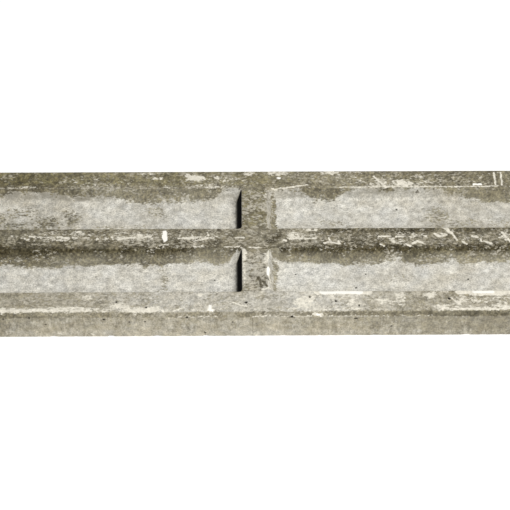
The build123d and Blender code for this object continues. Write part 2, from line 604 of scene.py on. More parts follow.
def placesOnBoard():
    # where every point of the cast lies, in mm
    x, y, z = spots.T / mm
    rimFar, rimMiddle = (halfWidth - board["edgeRib"]) / mm, board["middleRib"] / 2 / mm
    run, slope = board["wallRun"] / mm, wallSlope / mm
    upper = y > 0
    inside = insideRim(spots[:, 0], spots[:, 1]) / mm
    inRecess = (inside > 0) & (z > 20)
    onSide = np.abs(y) > halfFace / mm + 0.5
    fromCross = np.abs(x) - board["crossRib"] / 2 / mm
    fromEnd = (halfLength - board["endRib"]) / mm - np.abs(x)
    fromWall = np.minimum(fromCross, fromEnd)
    pastRim = np.where(upper, rimFar - y, -rimMiddle - y)
    return SimpleNamespace(
        x=x, y=y, z=z, rimFar=rimFar, rimMiddle=rimMiddle, run=run, slope=slope, upper=upper, inside=inside,
        inRecess=inRecess, onSide=onSide, fromCross=fromCross, fromEnd=fromEnd, pastRim=pastRim,
        onFace=z > thickness / mm - 0.5,
        onChamfer=onSide & (z > sideTop / mm - 0.2),
        onMiddle=np.abs(y) <= rimMiddle + 0.5,
        endWall=inRecess & (fromWall < run) & (fromWall < inside + 0.6),
        fromFar=np.where(pastRim < run, pastRim * slope / run, slope + pastRim - run),  # down the far wall
        fromNear=np.where(upper, y - rimMiddle, y + rimFar),
        beyond=ramp(photoHalf - 5, photoHalf + 25, np.abs(x)),
        lump=cloud("lump"),
        broad=cloud("broad"),
        streak=cloud("streak"),
    )


def recessStain(at):
    mean, spread = soiling["madeUpReach"]
    reach = np.where(at.upper, alongBoard(soiling["upperReach"]), alongBoard(soiling["lowerReach"]))
    reach = blend(reach, mean + spread * cloud("madeUpReach"), at.beyond)
    reach = reach + soiling["raggedReach"] * at.lump - soiling["lowerShorter"] * ~at.upper
    wall = np.where(at.upper, alongBoard(soiling["upperWall"]), alongBoard(soiling["lowerWall"]))
    wall = wall + soiling["raggedWall"] * cloud("wallStain")
    fade = np.where(at.upper, *soiling["reachFade"])
    haze = soiling["floorHaze"]
    stain = wall * (1 - ramp(reach - fade, reach + fade, at.fromFar)) + haze
    for blotch in soiling["blotches"]:
        stain = np.maximum(stain, boxPatch(at.x, at.y, blotch, edge=0.8) + haze)
    stain = np.where(at.fromNear < at.run, soiling["nearWall"], stain)
    # a strip at the foot of the wall right of the cross rib
    far, full = soiling["footReach"]
    outRagged, upRagged = soiling["footRagged"]
    foot = ramp(at.run + far, at.run + full, at.fromCross + outRagged * at.lump)
    up = ramp(at.run - soiling["footUp"], at.run, at.fromCross + upRagged * at.lump)
    foot = foot * up * (at.x > 0)
    foot *= 0.75 + 0.5 * cloud("footStrip")
    stain = np.maximum(stain, foot * np.where(at.upper, *soiling["footShare"]))
    least, share = np.where(at.upper, *soiling["endWall"]), np.where(at.upper, *soiling["endWallFoot"])
    return np.where(at.endWall & (at.x > 0), np.maximum(least, share * foot), stain)


def ribStain(at):
    x, y = at.x, at.y
    stain = alongBoard(soiling["nearRib"])
    for part in ("lowerCross", "innerCross", "middleRib", "upperCross", "farRib"):
        stain = blend(stain, alongBoard(soiling[part]), zone(part, y))
    nearEnd = ramp(halfLength / mm - 56, halfLength / mm - 46, np.abs(x))
    stain = blend(stain, soiling["endRib"] + 0.1 * (y > -20), nearEnd)
    stain += soiling["drift"] * at.broad * (0.4 + 0.6 * at.beyond)
    rimStrip = soiling["nearRim"] * zone("nearStrip", y) * at.onMiddle
    farRim = soiling["farRim"] * zone("farRim", y) * (y < at.rimMiddle + 0.5) * zone("rightOfCross", x)
    stain += rimStrip + farRim
    return stain - soiling["farRibFoot"] * zone("farRibFoot", y) * (y > 100) * zone("leftOfCross", x)


def stainField(at):
    # how much of the surface the brown stain covers
    side = alongBoard(soiling["side"]) + soiling["drift"] * at.streak
    # painted bounce light from the floor: less stain towards the foot of the side
    side = side + soiling["sideTop"] * zone("sideTop", at.z) - soiling["sideFootBounce"] * zone("sideFootBounce", at.z)
    stain = np.where(at.inRecess, recessStain(at), ribStain(at))
    stain = np.where(at.onSide, side, stain)
    stain = np.where(at.onChamfer, alongBoard(soiling["nearChamfer"]), stain)
    stain = np.where(at.onSide & (at.y > 0), stain + soiling["farSideMore"], stain)
    return np.where(at.z < 0.5, soiling["back"], stain)


def depthField(at):
    # how dark the stain is
    x, y, upper, fromFar = at.x, at.y, at.upper, at.fromFar
    middle = alongBoard(soiling["middleRibDepth"])
    for strip in ("farStrip", "nearStrip"):
        middle += zone(strip, y) * alongBoard(soiling[strip])
    middle += hump(y, *soiling["middleStripAt"]) * alongBoard(soiling["middleStrip"])
    midX, midY, slopeX, slopeY, half, share = soiling["slantStreak"]
    slanting = hump((x - midX) * slopeX - (y - midY) * slopeY, 0, half)
    middle += share * slanting * zone("streakFrom", x) * zone("streakTo", x)
    depth = np.where(at.onMiddle, middle, soiling["crossDepth"])
    depth = blend(depth, alongBoard(soiling["farRibDepth"]), zone("farRib", y))
    depth = np.where(y < -at.rimFar, alongBoard(soiling["nearRibDepth"]), depth)
    lower = alongBoard(soiling["lowerWallDepth"])
    topLine = zone("lowerTopLine", fromFar) * alongBoard(soiling["lowerTopLine"])
    lowerFoot = soiling["lowerFoot"] * zone("lowerFoot", fromFar)
    lower = lower + (soiling["darkest"] - lower) * topLine - lowerFoot
    depth = np.where(at.inRecess & ~upper, lower, depth)
    topLine = zone("upperTopLine", fromFar) * alongBoard(soiling["upperTopLine"])
    depth = np.where(at.inRecess & upper, alongBoard(soiling["upperWallDepth"]) + topLine, depth)
    onFloor = at.slope + 9
    upperFloor, lowerFloor = soiling["floorDepth"]
    floor = np.where(upper, upperFloor + soiling["leftDarker"] * zone("leftEnd", x), lowerFloor)
    floor = blend(depth, floor, ramp(onFloor, onFloor + 7, fromFar))
    depth = np.where(at.inRecess & (fromFar > onFloor), floor, depth)
    byCross = at.inRecess & (at.fromCross < at.run + 9) & (x > 0)
    depth = np.where(byCross, np.where(upper, *soiling["byCrossDepth"]), depth)
    depth = np.where(at.onChamfer, alongBoard(soiling["chamferDepth"]), depth)
    side = soiling["sideDepth"] + soiling["sideEnds"] * zone("sideEnds", np.abs(x + 20))
    depth = np.where(at.onSide & ~at.onChamfer, side, depth)
    return np.clip(depth + soiling["drift"] * at.broad, 0, 1.2)


def weatherAndLightField(at):
    # pale fresh cement turning beige with weathering; along the floors partly painted light falloff,
    # lighter at the middle of the board, and painted bounce light at the foot of the sides
    # on the floors partly painted light falloff, lighter at the middle of the board
    floor = np.where(at.upper, alongBoard(soiling["upperWeatherAndFalloff"]), alongBoard(soiling["lowerWeatherAndFalloff"]))
    weatherAndLight = np.where(at.inRecess, 0.19 + 0.12 * at.broad + floor, soiling["ribWeather"])
    weatherAndLight = np.where(at.endWall, np.where(at.upper, *soiling["endWallWeather"]), weatherAndLight)
    nearRib = (at.y < -at.rimFar + 0.5) & ~at.onSide
    weatherAndLight = np.where(nearRib, alongBoard(soiling["nearRibWeather"]), weatherAndLight)
    # painted bounce light from the floor: paler towards the foot of the side
    side = soiling["sideWeather"] + 0.12 * at.streak - 0.1 * zone("paleFootBounce", at.z)
    weatherAndLight = np.where(at.onSide, side, weatherAndLight)
    return np.clip(weatherAndLight + 0.1 * at.lump, 0, 1.1)


def limeField(at):
    # cream lime, mostly where the near arris was rubbed
    rubbed = -halfFace / mm + 2.4 + 1.2 * cloud("rubbed")
    mean, spread = limeCover["madeUpArris"]
    share = blend(alongBoard(limeCover["arris"]), mean + spread * cloud("madeUpArris"), at.beyond)
    lime = share * hump(at.y, rubbed, limeCover["arrisWidth"]) * (at.y < -at.rimFar) * at.onFace
    rng = np.random.default_rng(limeCover["seed"])
    for patch in limeCover["patches"] + scatteredPatches(rng, limeCover["scattered"]):
        lime = np.maximum(lime, boxPatch(at.x, at.y, patch, edge=0.5))
    least, rightMore = limeCover["least"], limeCover["rightMore"]
    lime = np.maximum(lime, rightMore * at.onFace * zone("limeRight", at.x) + least * at.onFace)
    lime = np.where(at.inRecess | at.onSide & ~at.onChamfer | (at.z < 5), 0, lime)
    return np.where(at.onChamfer, lime * limeCover["onChamfer"], lime)


def paintedShadeField(at):
    # painted shade: the two end walls left of the cross rib, which face away from the key light, are
    # coloured near black, fading out across the walls' foot onto the floor
    blackWall = (at.x < 0) * (at.fromCross > -0.6) * (at.inside > 0) * (at.fromEnd > 400)
    mitre = at.pastRim - at.fromCross  # past the corner where the two walls meet
    pastMitre = zone("mitre", mitre - 0.9 * np.maximum(at.fromCross, 0))
    return blackWall * (1 - zone("paintedShade", at.fromCross)) * pastMitre


def veilAndShadeField(at):
    # grey smears, and grey along each floor's foot by its near wall, partly dirt and partly painted shade
    # in that corner
    veilAndShade = np.zeros(len(spots))
    for smear in soiling["smears"]:
        veilAndShade = np.maximum(veilAndShade, boxPatch(at.x, at.y, smear, edge=0.7))
    footDirtAndShade = np.where(at.upper, *soiling["floorFootDirtAndShade"])
    veilAndShade = np.maximum(veilAndShade, at.inRecess * zone("floorFootDirtAndShade", at.fromNear) * footDirtAndShade)
    return np.where(at.onSide, 0.12 + 0.3 * zone("farRight", at.x), veilAndShade)


def mossField(at):
    moss = alongBoard(soiling["moss"]) * zone("mossFar", at.y)
    moss = moss + 0.7 * zone("mossFrom", at.y) * zone("mossTo", at.y)
    return np.where(at.inRecess, soiling["recessMoss"], moss)


def holeField():
    shade = np.zeros(len(spots))
    for place in holes:
        gap = np.linalg.norm(spots - place[:3], axis=1) / place[3]
        shade = np.maximum(shade, 1 - ramp(0.45, 1.1, gap))
    return shade


places = placesOnBoard()
fields = {
    "stain": stainField(places),
    "depth": depthField(places),
    "weatherAndLight": weatherAndLightField(places),
    "lime": limeField(places),
    "paintedShade": paintedShadeField(places),
    "hole": holeField(),
    "veilAndShade": veilAndShadeField(places),
    "moss": mossField(places),
}

for name, values in fields.items():
    layer = castMesh.attributes.new(name, "FLOAT", "POINT")
    layer.data.foreach_set("value", np.clip(values, 0, 1.5).astype(np.float32))
print("surface fields:", ", ".join(fields))


def sinkSurface():
    # everything moves inwards from the mould's faces, so the cast stays inside its own size
    x, y, z = np.abs(spots[:, 0]), np.abs(spots[:, 1]), spots[:, 2]
    inside = insideRim(spots[:, 0], spots[:, 1])
    worn = 0.55 + 0.9 * cloud("worn") + 0.5 * cloud("wornFine")
    worn = np.clip(worn, 0.1, 2.0)
    high = z > sideTop - 0.2 * mm
    endWidth = wear["endWidth"]
    arris = hump(np.hypot(y - halfFace, z - thickness), 0, wear["arrisWidth"])
    arris += 0.8 * hump(np.hypot(y - halfWidth, z - sideTop), 0, wear["chamferWidth"])
    arris += hump(np.hypot(x - halfLength, np.maximum(0, thickness - z)), 0, endWidth)
    arris += hump(np.hypot(x - halfLength, y - halfWidth), 0, endWidth)
    arris += 0.5 * hump(inside, 0, wear["rimWidth"]) * (z > thickness - 3 * mm)
    sink = wear["castInset"] + wear["swell"] * (0.5 + 0.5 * cloud("swell"))
    sink = sink + wear["grain"] * (0.5 + 0.5 * cloud("grain"))
    sink = sink + wear["arris"] * arris * worn * high
    ragged = np.clip(1.9 * cloud("ragged") - 0.3, 0, 1.8)
    edgeGap = np.minimum(halfLength - x, halfWidth - y)
    baseArris = hump(z, 0, endWidth) * hump(edgeGap, 0, endWidth)
    sink = sink + wear["baseArris"] * baseArris * ragged
    sink = sink - wear["crust"] * ramp(0.3, 0.75, fields["lime"])
    onBack = (z < 0.2 * mm) & (edgeGap > wear["backBand"])
    sink = np.where(onBack, wear["grain"] * (0.6 + 0.6 * cloud("backGrain")), sink)
    sink = np.maximum(sink, wear["least"]) + airHoles["depth"] * fields["hole"]
    return spots - outward * sink[:, None]


cast = sinkSurface()
castMesh.vertices.foreach_set("co", cast.ravel())
castMesh.polygons.foreach_set("use_smooth", [True] * len(castMesh.polygons))
castMesh.set_sharp_from_angle(angle=math.radians(wear["sharpAngle"]))
castMesh.update()
castBoard = bpy.data.objects.new("gravel_board_cast", castMesh)
bpy.context.collection.objects.link(castBoard)
castMesh.calc_loop_triangles()
print("worn surface:", len(castMesh.loop_triangles), "triangles")


def addNode(tree, kind, inputs=None, **settings):
    node = tree.nodes.new(kind)
    for name, value in settings.items():
        setattr(node, name, value)
    for socket, value in (inputs or {}).items():
        if isinstance(value, bpy.types.NodeSocket):
            tree.links.new(value, node.inputs[socket])
        else:
            node.inputs[socket].default_value = value
    return node


def calc(tree, operation, a, b, clamp=False):
    return addNode(tree, "ShaderNodeMath", {0: a, 1: b}, operation=operation, use_clamp=clamp).outputs[0]


def plus(tree, a, b, clamp=False):
    return calc(tree, "ADD", a, b, clamp)


def minus(tree, a, b):
    return calc(tree, "SUBTRACT", a, b)


def times(tree, a, b, clamp=False):
    return calc(tree, "MULTIPLY", a, b, clamp)


def vectorCalc(tree, operation, a, b=None, scale=None):
    inputs = {0: a}
    if b is not None:
        inputs[1] = b
    if scale is not None:
        inputs["Scale"] = scale
    node = addNode(tree, "ShaderNodeVectorMath", inputs, operation=operation)
    return node.outputs["Value" if operation in ("LENGTH", "DOT_PRODUCT") else "Vector"]


def mixColours(tree, share, a, b, how="MIX"):
    node = addNode(tree, "ShaderNodeMix", data_type="RGBA", blend_type=how)
    for socket, value in ((0, share), (6, a), (7, b)):
        if isinstance(value, bpy.types.NodeSocket):
            tree.links.new(value, node.inputs[socket])
        elif socket:
            node.inputs[socket].default_value = (*value, 1)
        else:
            node.inputs[socket].default_value = value
    return node.outputs[2]


def span(tree, value, low, high, toLow=0.0, toHigh=1.0, smooth=True):
    inputs = {"Value": value, "From Min": low, "From Max": high, "To Min": toLow, "To Max": toHigh}
    way = "SMOOTHSTEP" if smooth else "LINEAR"
    return addNode(tree, "ShaderNodeMapRange", inputs, interpolation_type=way).outputs["Result"]


def noiseOf(tree, spot, size, detail, rough):
    scale = calc(tree, "DIVIDE", 1.0, size)
    inputs = {"Vector": spot, "Scale": scale, "Detail": detail, "Roughness": rough}
    return addNode(tree, "ShaderNodeTexNoise", inputs).outputs[0]


def newGroup(name, inputs, outputs):
    # a number stands for a value socket with that default
    group = bpy.data.node_groups.new(name, "ShaderNodeTree")
    kinds = {"value": "NodeSocketFloat", "vector": "NodeSocketVector", "colour": "NodeSocketColor"}
    for label, kind in inputs.items():
        known = kind in kinds
        socketType = kinds[kind if known else "value"]
        socket = group.interface.new_socket(name=label, in_out="INPUT", socket_type=socketType)
        if not known:
            socket.default_value = kind
    for label, kind in outputs.items():
        group.interface.new_socket(name=label, in_out="OUTPUT", socket_type=kinds[kind])
    return group, group.nodes.new("NodeGroupInput").outputs, group.nodes.new("NodeGroupOutput").inputs


def placeGroup(tree, group, inputs):
    node = tree.nodes.new("ShaderNodeGroup")
    node.node_tree = group
    for socket, value in inputs.items():
        if isinstance(value, bpy.types.NodeSocket):
            tree.links.new(value, node.inputs[socket])
        else:
            node.inputs[socket].default_value = value
    return node.outputs


def brokenCoverGroup():
    # a share of the surface, broken into patches with flecked edges
    sockets = {"Spot": "vector", "Coverage": 0.5, "Patch Size": 14.0, "Fleck Size": 3.0,
               "Fleck Strength": 1.6, "Softness": 0.2}
    group, given, out = newGroup("Broken Cover", sockets, {"Mask": "value"})
    patch = noiseOf(group, given["Spot"], given["Patch Size"], 5, 0.72)
    fleck = noiseOf(group, given["Spot"], given["Fleck Size"], 2, 0.6)
    patch = times(group, minus(group, patch, 0.5), 2.3)
    fleck = times(group, minus(group, fleck, 0.5), given["Fleck Strength"])
    level = plus(group, plus(group, patch, fleck), 0.5)
    gap = minus(group, given["Coverage"], level)
    low = times(group, given["Softness"], -1.0)
    some = span(group, given["Coverage"], 0.0, 0.14)
    group.links.new(times(group, span(group, gap, low, given["Softness"]), some), out["Mask"])
    return group


def sandGrainGroup():
    # the fine and coarse sand of the mix
    sockets = {"Spot": "vector", "Grain Size": 1.6}
    group, given, out = newGroup("Sand Grain", sockets, {"Tone": "value", "Height": "value"})
    fine = noiseOf(group, given["Spot"], given["Grain Size"], 1.5, 0.6)
    coarse = noiseOf(group, given["Spot"], times(group, given["Grain Size"], 3.1), 2, 0.5)
    tone = plus(group, times(group, fine, 0.55), times(group, coarse, 0.45))
    group.links.new(minus(group, tone, 0.5), out["Tone"])
    group.links.new(tone, out["Height"])
    return group


def poresGroup():
    # small round holes in some of the cells
    sockets = {"Spot": "vector", "Spacing": 9.0, "Share": 0.3, "Radius": 0.7}
    group, given, out = newGroup("Pores", sockets, {"Mask": "value"})
    inputs = {"Vector": given["Spot"], "Scale": calc(group, "DIVIDE", 1.0, given["Spacing"])}
    cells = addNode(group, "ShaderNodeTexVoronoi", inputs)
    pick = addNode(group, "ShaderNodeSeparateColor", {0: cells.outputs["Color"]})
    chosen = calc(group, "LESS_THAN", pick.outputs[0], given["Share"])
    radius = calc(group, "DIVIDE", given["Radius"], given["Spacing"])
    radius = times(group, radius, plus(group, pick.outputs[1], 0.5))
    hole = span(group, cells.outputs["Distance"], radius, times(group, radius, 0.5))
    group.links.new(times(group, hole, chosen), out["Mask"])
    return group


def strokeGroup():
    # a short straight mark, seen from above
    sockets = {"Spot": "vector", "Start": "vector", "Heading": "vector", "Length": 10.0, "Half Width": 1.0,
               "Breakup": 0.0}
    group, given, out = newGroup("Stroke", sockets, {"Mask": "value"})
    away = vectorCalc(group, "SUBTRACT", given["Spot"], given["Start"])
    along = vectorCalc(group, "DOT_PRODUCT", away, given["Heading"])
    along = calc(group, "MAXIMUM", calc(group, "MINIMUM", along, given["Length"]), 0.0)
    foot = vectorCalc(group, "SCALE", given["Heading"], scale=along)
    gap = vectorCalc(group, "LENGTH", vectorCalc(group, "SUBTRACT", away, foot))
    gap = plus(group, minus(group, gap, given["Half Width"]), given["Breakup"])
    group.links.new(span(group, gap, 0.9, -0.6), out["Mask"])
    return group


def toneDriftGroup():
    # lighter and darker, warmer and cooler drift over a colour
    sockets = {"Colour": "colour", "Spot": "vector", "Drift Size": 60.0, "Amount": 0.3, "Warmth": 0.0}
    group, given, out = newGroup("Tone Drift", sockets, {"Colour": "colour"})
    light = minus(group, noiseOf(group, given["Spot"], given["Drift Size"], 3, 0.6), 0.5)
    wide = calc(group, "DIVIDE", 1.0, times(group, given["Drift Size"], 3.0))
    inputs = {"Vector": given["Spot"], "Scale": wide, "Detail": 2.0}
    hue = addNode(group, "ShaderNodeTexNoise", inputs).outputs[1]
    warm = minus(group, addNode(group, "ShaderNodeSeparateColor", {0: hue}).outputs[1], 0.5)
    factor = plus(group, times(group, light, given["Amount"]), 1.0)
    scaled = vectorCalc(group, "SCALE", given["Colour"], scale=factor)
    lean = vectorCalc(group, "SCALE", (0.35, 0.05, -0.6), scale=times(group, warm, given["Warmth"]))
    tint = vectorCalc(group, "MULTIPLY", scaled, vectorCalc(group, "ADD", lean, (1, 1, 1)))
    group.links.new(tint, out["Colour"])
    return group


brokenCover = brokenCoverGroup()
sandGrain = sandGrainGroup()
pores = poresGroup()
stroke = strokeGroup()
toneDrift = toneDriftGroup()
print("node groups:", ", ".join(group.name for group in bpy.data.node_groups))

# every colour, linear
finish = {
    "paleCement": (0.645, 0.625, 0.56),
    "beigeCement": (0.42, 0.387, 0.312),
    "sideBeige": (0.425, 0.385, 0.293),
    "lightStain": (0.25, 0.222, 0.148),
    "deepStain": (0.066, 0.056, 0.033),
    "mossTint": (1.0, 0.985, 0.67),
    "underStain": (0.33, 0.297, 0.218),
    "greySmearAndShade": (0.29, 0.27, 0.22),
    "lime": (0.8, 0.755, 0.64),
    "chalk": (0.95, 0.925, 0.85),
    "holeShade": (0.014, 0.012, 0.008),
    # near black, for the painted shade on the two end walls left of the cross rib
    "black": (0.004, 0.004, 0.004),
}


def fieldOf(tree, name):
    return addNode(tree, "ShaderNodeAttribute", attribute_name=name).outputs["Fac"]


def newMaterial(name):
    material = bpy.data.materials.new(name)
    material.use_nodes = True
    tree = material.node_tree
    tree.nodes.clear()
    shader = addNode(tree, "ShaderNodeBsdfPrincipled")
    addNode(tree, "ShaderNodeOutputMaterial", {"Surface": shader.outputs[0]})
    place = addNode(tree, "ShaderNodeTexCoord").outputs["Object"]
    spot = vectorCalc(tree, "SCALE", place, scale=1 / mm)
    return material, tree, shader, spot


def strokesOver(tree, spot, breakup, lines):
    total = None
    for x0, y0, x1, y1, half in lines:
        length = math.hypot(x1 - x0, y1 - y0)
        heading = ((x1 - x0) / length, (y1 - y0) / length, 0)
        inputs = {"Spot": spot, "Start": (x0, y0, 0), "Heading": heading, "Length": length,
                  "Half Width": half, "Breakup": breakup}
        mask = placeGroup(tree, stroke, inputs)["Mask"]
        total = mask if total is None else calc(tree, "MAXIMUM", total, mask)
    return total


cement = {
    "grainSize": 2.3,
    "grainContrast": 2.3,
    "patchSize": 24,
    "drift": (10.0, 0.6, 0.2),  # size in mm, amount, warmth
}
stainLook = {
    "mottleSize": 13,
    "mottle": 3.4,
    "fleckSize": 3.2,
    "fleckTones": (0.62, 1.5),
    "drift": (8.0, 1.2, 0.4),
}


def drifting(tree, colour, spot, drift):
    size, amount, warmth = drift
    inputs = {"Colour": colour, "Spot": spot, "Drift Size": size, "Amount": amount, "Warmth": warmth}
    return placeGroup(tree, toneDrift, inputs)["Colour"]


def cementBase(tree, spot, weatherAndLight, patchiness=1.6, weathered="beigeCement"):
    grain = placeGroup(tree, sandGrain, {"Spot": spot, "Grain Size": cement["grainSize"]})
    patchy = minus(tree, noiseOf(tree, spot, cement["patchSize"], 5, 0.7), 0.5)
    share = plus(tree, weatherAndLight, times(tree, patchy, patchiness), clamp=True)
    colour = mixColours(tree, share, finish["paleCement"], finish[weathered])
    factor = plus(tree, times(tree, grain["Tone"], cement["grainContrast"]), 1.0)
    colour = vectorCalc(tree, "SCALE", colour, scale=factor)
    return drifting(tree, colour, spot, cement["drift"]), grain["Height"]


def stainColour(tree, spot, depth):
    mottle = minus(tree, noiseOf(tree, spot, stainLook["mottleSize"], 5, 0.72), 0.5)
    share = plus(tree, depth, times(tree, mottle, stainLook["mottle"]), clamp=True)
    colour = mixColours(tree, share, finish["lightStain"], finish["deepStain"])
    flecks = noiseOf(tree, spot, stainLook["fleckSize"], 1.5, 0.5)
    flecks = span(tree, flecks, 0.34, 0.66, *stainLook["fleckTones"])
    colour = vectorCalc(tree, "SCALE", colour, scale=flecks)
    return drifting(tree, colour, spot, stainLook["drift"])


def coverOf(tree, spot, coverage, sizes):
    names = ("Patch Size", "Fleck Size", "Fleck Strength", "Softness")
    inputs = {"Spot": spot, "Coverage": coverage, **dict(zip(names, sizes))}
    return placeGroup(tree, brokenCover, inputs)["Mask"]


def pitted(tree, spot, look, colour, height, hole=None):
    # pores, with painted shade in them and down in the air holes
    spacing, share, radius = look["pores"]
    inputs = {"Spot": spot, "Spacing": spacing, "Share": share, "Radius": radius}
    specks = placeGroup(tree, pores, inputs)["Mask"]
    shade = times(tree, specks, look["poreShade"])
    if hole is not None:
        shade = calc(tree, "MAXIMUM", shade, hole)
    colour = mixColours(tree, shade, colour, finish["holeShade"])
    return colour, minus(tree, height, times(tree, specks, look["poreDip"]))


def finishShader(tree, shader, look, colour, height, cover):
    rough = minus(tree, look["roughness"], times(tree, cover, look["stainSmoother"]))
    tree.links.new(colour, shader.inputs["Base Color"])
    tree.links.new(rough, shader.inputs["Roughness"])
    shader.inputs["Specular IOR Level"].default_value = look["shine"]
    inputs = {"Height": height, "Strength": look["bump"], "Distance": look["bumpDepth"]}
    tree.links.new(addNode(tree, "ShaderNodeBump", inputs).outputs[0], shader.inputs["Normal"])


# stain and lime: patch size and fleck size in mm, how far flecks break the edge, softness
# pores: spacing, share of the cells, radius; marks in mm: x, y, x, y, half width
castFace = {
    "streak": 0.65,  # under 1 draws stain and lime out along the board
    "stain": (14.0, 3.0, 2.1, 0.2),
    "stainLeast": 0.55,  # how strongly the lightest stain covers
    "stainByDepth": 0.45,
    "lime": (7.0, 3.2, 1.9, 0.3),
    "limeDrift": (5.0, 1.0, 0.0),
    "limeStrength": 0.88,
    "limeHeight": 0.5,
    "smudge": 9,
    "veilAndShadeStrength": 1.5,
    "moss": 30,
    "wander": 7,  # how marks stray from their line
    "strayBy": 4.0,
    "crumble": 4.5,
    "runCrumble": 22.0,
    "runThinner": 2.0,
    "darkStrength": 0.8,
    "pores": (8.0, 0.22, 0.75),
    "poreShade": 0.45,
    "poreDip": 0.8,
    "roughness": 0.93,
    "stainSmoother": 0.08,
    "shine": 0.06,
    "bump": 0.7,
    "bumpDepth": 0.5 * mm,
    "dabs": [
        (-138, 13, -137, -2, 3.3), (98, -110.5, 156, -110.5, 3.3), (324, -111, 352, -111, 2.2),
        (-67, -136, -67, -143, 1.6), (-70, -144.5, -64, -144.5, 1.6), (-67, -140, -67, -142, 2.6),
        (20, -60, 19, -74, 2.2), (90, -149.5, 93, -150, 0.9), (347, 115, 358, 115, 1.9),
        (39, 130, 40, 130, 2.2),
    ],
    "scrapes": [
        # along the middle rib
        (-371, 7, -370, 7, 1.4), (-356, 2, -355, 2, 1.0), (-351, 1, -350, 1, 1.2),
        (-346, -1, -345, -1, 1.8), (-343, 5, -336, 5, 1.4), (-331, 5, -326, 4, 1.0),
        (-300, 4, -284, 2, 2.2), (-277, 2, -272, 2, 1.3), (-272, 14, -271, 14, 1.3),
        (-262, 2, -253, 2, 0.8), (-218, 3, -217, 3, 1.2), (-208, -1, -188, 2, 1.6),
        (-178, 8, -173, 7, 1.8), (-166, 4, -158, 4, 1.8), (-144, -14, -134, -12, 0.8),
        (-117, 0, -107, 0, 0.9), (-106, 0, -94, 1, 2.0), (-96, 9, -93, 0, 0.9), (-87, 3, -86, 3, 0.9),
        (-79, -1, -71, 1, 2.0), (-73, 12, -70, 5, 0.9), (-64, 1, -62, 1, 0.9), (-92, -17, -91, -17, 1.6),
        (-29, 1, -17, 2, 1.2), (-46, -18, -24, -17, 0.9), (-9, -18, 10, -20, 1.0), (36, 21, 37, 21, 1.4),
        (44, -4, 47, -5, 2.2), (54, -1, 72, 0, 1.8), (58, 9, 58, 0, 1.5), (66, 8, 67, 3, 1.2),
        (76, -1, 94, 0, 1.1), (83, 18, 85, 17, 1.7), (93, 17, 94, 17, 2.0), (106, -11, 116, -7, 1.4),
        (113, -1, 116, -9, 1.3), (116, -9, 128, -12, 1.3), (127, -6, 129, -12, 1.3),
        (190, 2, 207, 3, 1.7), (215, 2, 227, 3, 1.2), (192, -13, 196, -17, 1.4),
        (230, -14, 237, -17, 1.4), (240, -12, 246, -9, 1.8), (247, -8, 256, -11, 2.0),
        (276, 8, 281, 4, 1.8), (281, 3, 294, 6, 1.0), (302, 8, 309, -5, 1.2), (316, -8, 323, -13, 1.6),
        (332, 3, 341, 0, 1.1), (345, -4, 346, -9, 1.2), (350, -8, 360, -13, 1.8), (380, 10, 384, 0, 1.9),
        (387, -3, 390, -9, 1.8),
        # along the far rib
        (-158, 129, -153, 129, 1.2), (-147, 129, -146, 129, 1.6), (-104, 138, -98, 133, 2.4),
        (-95, 132, -93, 127, 2.0), (-107, 127, -105, 127, 1.2), (-85, 133, -78, 129, 1.8),
        (-61, 132, -56, 130, 1.6), (-47, 126, -46, 126, 1.5), (28, 107, 50, 109, 0.9),
        (50, 109, 84, 115, 1.0), (135, 110, 320, 110, 0.8), (320, 110, 384, 111, 0.7),
        (381, 141, 381, 114, 1.1), (392, 141, 391, 114, 1.1), (228, 115, 242, 114, 1.8),
        (233, 124, 235, 122, 1.8),
        # on the cross rib, on the near rib, and a few more
        (-17, -24, -15, -30, 3.0), (-16, -30, -15, -44, 1.6), (10, -104, 17, -103, 0.9),
        (17, -103, 22, -98, 0.9), (20, -30, 19, -44, 1.4), (-36, -128, -22, -135, 1.0),
        (-22, -135, -14, -136, 0.9), (-121, -145, -109, -141, 0.9), (48, -143, 68, -139, 1.0),
        (-83, -113, -79, -113, 1.7), (251, -117, 262, -116, 1.4), (268, -137, 282, -143, 1.8),
        (288, -122, 302, -136, 1.1), (286, -144, 392, -144, 1.1), (355, -139, 374, -141, 1.6),
        (91, -110.5, 168, -110.5, 4.4), (300, -111, 374, -111, 4.2), (20, -77, 22, -86, 1.4),
        (293, 20, 301, 9, 2.2), (290, 23, 296, 17, 2.6), (84, -149, 98, -150, 1.2),
        (190, 133, 205, 112, 1.4), (203, 114, 208, 110, 1.8), (62, -108.5, 94, -108.5, 1.0),
        # the thin pale line along the chamfer's lower edge
        (-114, -151.4, -56, -151.4, 0.1), (-5, -151.4, 180, -151.4, 0.1),
        (180, -151.4, 260, -151.4, -0.2),
    ],
    "runs": [
        (-315, -1, -292, -1, 3.0), (-240, 0, -225, 0, 3.0), (-200, 2, -160, 4, 3.6),
        (-108, 1, -64, 1, 3.0), (-104, 136, -80, 131, 5.0), (54, 3, 72, 3, 4.0),
        (228, 118, 244, 114, 4.0), (62, -134, 84, -122, 5.5), (319, -112, 392, -111.5, 5.4),
        (262, -109, 284, -109, 1.4), (-16, -52, -17, -98, 1.2), (-390, -144, -250, -143, 1.6),
    ],
    "dark": [
        (5, -80, 9, -97, 2.4), (12, -88, 17, -97, 2.0), (83, -6, 84, -6, 2.0), (72, -6, 73, -6, 1.8),
        (256, 104.4, 259, 104.4, 0.9), (20, -84, 20, -85, 1.0),
    ],
}


